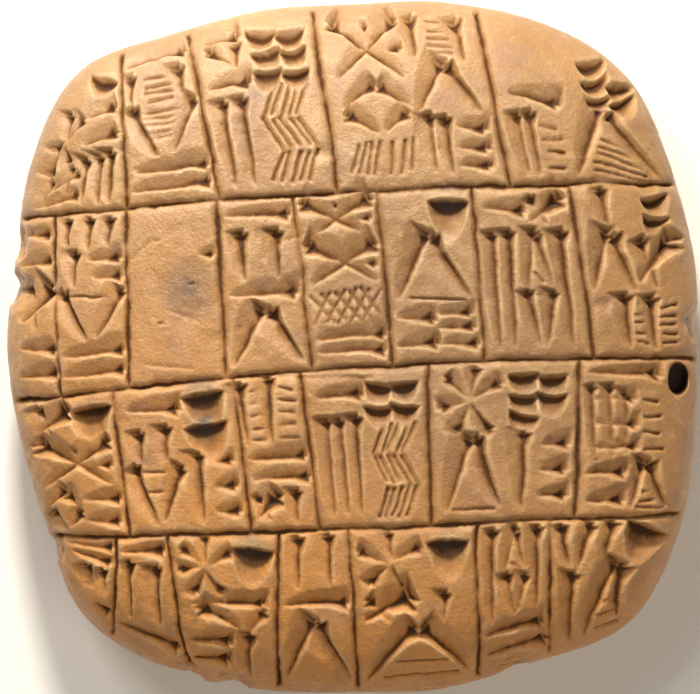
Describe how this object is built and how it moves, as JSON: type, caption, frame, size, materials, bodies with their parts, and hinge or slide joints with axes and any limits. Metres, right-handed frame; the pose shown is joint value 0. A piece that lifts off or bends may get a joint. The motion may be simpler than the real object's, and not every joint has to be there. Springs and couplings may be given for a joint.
{
  "type": "cuneiform tablet",
  "caption": "Rounded square clay tablet with a gently domed face of ruled rows and pressed stylus marks, and a plain flat back to rest on.",
  "frame": {"origin": "centre of the tablet's outline, in the plane of the flat back it rests on", "axes": "+Z out of the inscribed face, +Y toward the top row, +X to the reader's right"},
  "size_m": [0.085, 0.085, 0.023],
  "materials": {
    "clay": "satin"
  },
  "bodies": {
    "root": {"tablet": "clay"}
  },
  "joints": []
}
